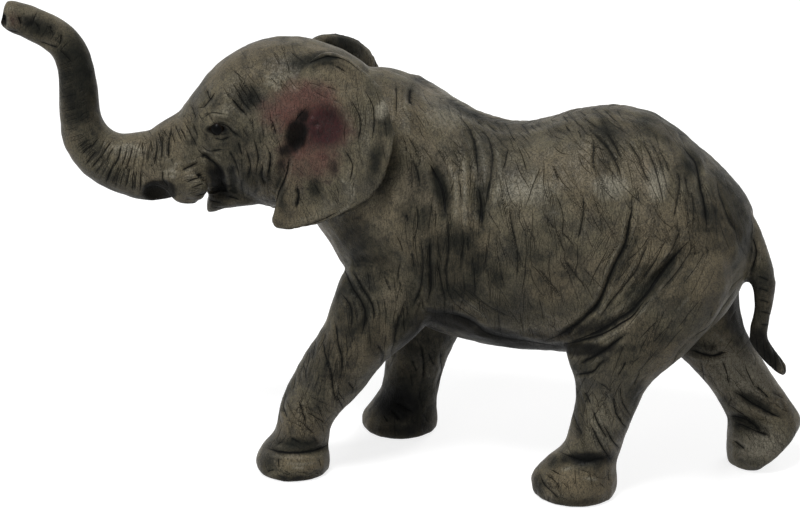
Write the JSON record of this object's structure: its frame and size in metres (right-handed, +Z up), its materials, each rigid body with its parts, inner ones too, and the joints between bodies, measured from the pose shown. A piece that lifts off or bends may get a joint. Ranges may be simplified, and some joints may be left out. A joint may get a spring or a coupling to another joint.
{
  "type": "toy elephant calf figure",
  "caption": "Rigid moulded toy figure of a walking elephant calf with its trunk raised, built from hollow body halves and plug-in head, ears, trunk, legs and tail.",
  "frame": {"origin": "on the ground, under the middle of the figure's overall box", "axes": "the head looks along -X and the tail hangs towards +X, the animal's left side faces -Y, +Z up"},
  "size_m": [0.1603, 0.0404, 0.0985],
  "materials": {
    "painted_skin": "hand-painted moulded plastic, grey-brown with a dark wash in the folds and a satin varnish",
    "eye_paint": "gloss-varnished very dark brown"
  },
  "bodies": {
    "root": {"torso_left": "painted_skin", "torso_right": "painted_skin", "head": "painted_skin", "trunk": "painted_skin", "lower_jaw": "painted_skin", "left_ear": "painted_skin", "right_ear": "painted_skin", "front_left_leg": "painted_skin", "front_right_leg": "painted_skin", "hind_left_leg": "painted_skin", "hind_right_leg": "painted_skin", "tail": "painted_skin", "left_eye": "eye_paint", "right_eye": "eye_paint"}
  },
  "joints": []
}
